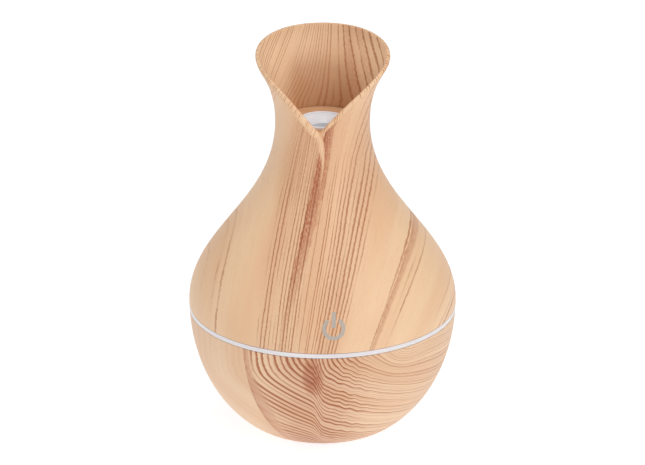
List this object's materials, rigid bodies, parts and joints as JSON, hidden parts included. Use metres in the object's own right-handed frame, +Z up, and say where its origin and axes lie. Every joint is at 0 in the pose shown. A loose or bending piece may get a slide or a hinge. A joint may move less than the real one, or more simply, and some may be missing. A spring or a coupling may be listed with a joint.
{
  "type": "essential oil diffuser",
  "caption": "Vase-shaped ultrasonic aroma diffuser: bowl-shaped water tank, light ring, upper housing with a V-notched overlapping collar, atomiser in the neck and a wick in a sleeve.",
  "frame": {"origin": "centre of the circle of foot pads, on the surface that the diffuser stands on", "axes": "+Z up along the vase's axis, -Y to the front, where the collar's notch and the touch symbol are, +X to the viewer's right"},
  "size_m": [0.098, 0.098, 0.1454],
  "materials": {
    "wood_print": "wood-grain printed film over moulded plastic, satin",
    "white_plastic": "moulded white polypropylene or ABS",
    "light_ring": "translucent white, lit from inside",
    "silicone": "translucent silicone",
    "rubber": "soft rubber",
    "steel": "plated or stainless steel",
    "ceramic": "fired piezo ceramic with a silvered face",
    "board": "green soldermask",
    "black_plastic": "moulded black plastic",
    "red_wire": "insulated wire",
    "cotton": "pressed cotton fibre"
  },
  "bodies": {
    "base": {"lower_shell": "wood_print", "tank_liner": "white_plastic", "foot_pad_1": "rubber", "foot_pad_2": "rubber", "foot_pad_3": "rubber", "foot_pad_4": "rubber"},
    "seal": {"tank_seal": "silicone"},
    "housing": {"atomiser_carrier": "white_plastic", "atomiser_gasket": "silicone", "board_screw_1": "steel", "board_screw_2": "steel", "board_screw_3": "steel", "carrier_screw_1": "steel", "carrier_screw_2": "steel", "carrier_screw_3": "steel", "chassis": "white_plastic", "chassis_screw_1": "steel", "chassis_screw_2": "steel", "chassis_screw_3": "steel", "driver_chip": "black_plastic", "led_1": "white_plastic", "led_2": "white_plastic", "led_3": "white_plastic", "led_4": "white_plastic", "led_5": "white_plastic", "led_6": "white_plastic", "light_ring": "light_ring", "main_board": "board", "mesh_disc": "steel", "mist_nozzle": "white_plastic", "neck_shelf": "wood_print", "piezo_ring": "ceramic", "piezo_wire_black": "black_plastic", "piezo_wire_red": "red_wire", "power_inductor": "black_plastic", "smoothing_capacitor": "steel", "touch_board": "board", "touch_wire": "black_plastic", "upper_shell": "wood_print", "usb_socket": "steel", "usb_tongue": "black_plastic", "wire_connector": "white_plastic"},
    "sleeve": {"wick_sleeve": "white_plastic", "sleeve_o_ring": "silicone", "wick_spring": "steel"},
    "end_cap": {"sleeve_end_cap": "white_plastic"},
    "wick": {"wick": "cotton"}
  },
  "joints": [
    {"name": "housing_lift", "type": "slide", "parent": "base", "child": "seal", "axis": [0, 0, 1], "range_m": [0, 0.07]},
    {"name": "housing_turn", "type": "hinge", "parent": "seal", "child": "housing", "pos_m": [0, 0, 0.04], "axis": [0, 0, 1], "continuous": true},
    {"name": "sleeve_pull", "type": "slide", "parent": "housing", "child": "sleeve", "axis": [0, 0, -1], "range_m": [0, 0.004]},
    {"name": "end_cap_turn", "type": "hinge", "parent": "sleeve", "child": "end_cap", "pos_m": [0, 0, 0.0126], "axis": [0, 0, 1], "range_deg": [0, 90]},
    {"name": "wick_press", "type": "slide", "parent": "sleeve", "child": "wick", "axis": [0, 0, -1], "range_m": [0, 0.0025], "stiffness_N_per_m": 200, "springref_m": -0.003, "deforming": ["wick_spring"]}
  ]
}
